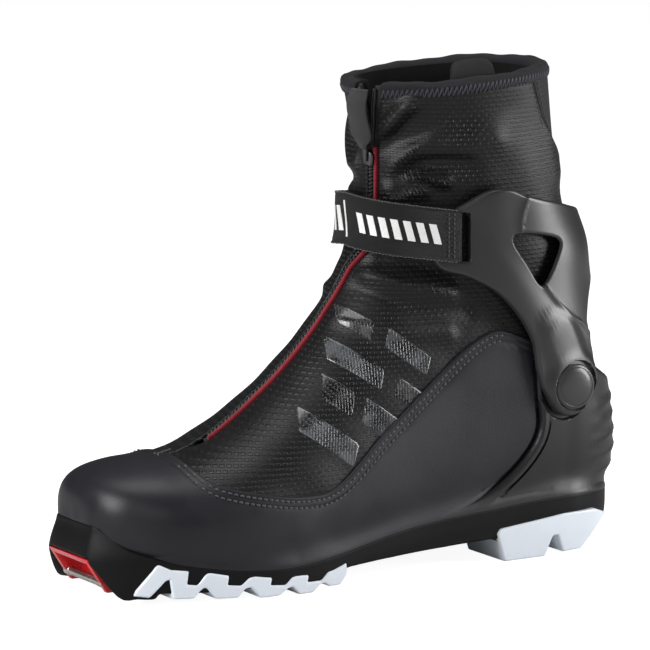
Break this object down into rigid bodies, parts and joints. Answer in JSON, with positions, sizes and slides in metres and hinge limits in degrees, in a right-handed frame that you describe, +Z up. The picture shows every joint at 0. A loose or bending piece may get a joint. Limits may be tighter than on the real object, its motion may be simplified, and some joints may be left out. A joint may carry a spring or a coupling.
{
  "type": "cross country ski boot",
  "caption": "Left ankle-high ski boot with a zipped softshell, hinged plastic cuff and strap, and a treaded sole with a steel toe bar that clips into a binding.",
  "frame": {"origin": "bottom centre of the bounding box, on the ground under the middle of the sole", "axes": "+Z up, toe towards -X, heel towards +X, outer side of the left foot towards -Y"},
  "size_m": [0.2995, 0.1, 0.246],
  "materials": {
    "sole_black": "satin moulded thermoplastic rubber",
    "tread_white": "satin white rubber with a faint blue tint",
    "insert_red": "satin crimson plastic",
    "bar_steel": "bright steel rod",
    "wrap_black": "smooth matte black synthetic leather",
    "counter_black": "satin black moulded plastic with ribs",
    "softshell": "black stretch softshell with embossed slanted dashes",
    "rear_stretch": "black stretch knit",
    "binding": "black overlocked elastic edge",
    "liner_grey": "dark brushed fleece lining",
    "insole_grey": "grey felt insole",
    "tape_black": "black woven zip tape",
    "coil_black": "black nylon coil",
    "piping_red": "crimson woven piping",
    "slider_metal": "dark plated metal",
    "ribbon_grey": "dark grosgrain ribbon",
    "cuff_grey": "satin charcoal plastic",
    "cap_grey": "satin charcoal plastic",
    "strap_black": null,
    "tab_grey": "dark grey coated fabric"
  },
  "bodies": {
    "root": {"outsole": "sole_black", "toe_insert": "insert_red", "toe_bar": "bar_steel", "tread_front_lateral": "tread_white", "tread_front_medial": "tread_white", "tread_heel": "tread_white", "vamp_wrap": "wrap_black", "heel_counter": "counter_black", "softshell_instep_lateral": "softshell", "softshell_instep_medial": "softshell", "liner_foot": "liner_grey", "insole": "insole_grey", "zip_coil_instep": "coil_black", "piping_instep": "piping_red", "zip_tape_instep_lateral": "tape_black", "zip_tape_instep_medial": "tape_black", "pivot_cap_lateral": "cap_grey", "pivot_cap_medial": "cap_grey"},
    "cuff": {"cuff": "cuff_grey", "softshell_collar_lateral": "softshell", "softshell_collar_medial": "softshell", "collar_rear_panel": "rear_stretch", "collar_binding": "binding", "liner_collar": "liner_grey", "zip_coil_collar": "coil_black", "piping_collar": "piping_red", "zip_tape_collar_lateral": "tape_black", "zip_tape_collar_medial": "tape_black", "pull_tab": "tab_grey"},
    "strap_flap": {"strap_flap": "strap_black"},
    "slider": {"zip_slider": "slider_metal", "zip_pull_bail": "slider_metal", "zip_pull_ribbon": "ribbon_grey"}
  },
  "joints": [
    {"name": "cuff_flex", "type": "hinge", "parent": "root", "child": "cuff", "pos_m": [0.10325, 0, 0.0834], "axis": [0, -1, 0], "range_deg": [-5, 8]},
    {"name": "strap_open", "type": "hinge", "parent": "cuff", "child": "strap_flap", "pos_m": [0.04135, -0.04, 0.1595], "axis": [0, 0, 1], "range_deg": [0, 95]},
    {"name": "zip_slide", "type": "slide", "parent": "cuff", "child": "slider", "axis": [-0.104, 0, 0.9946], "range_m": [0, 0.022]}
  ]
}
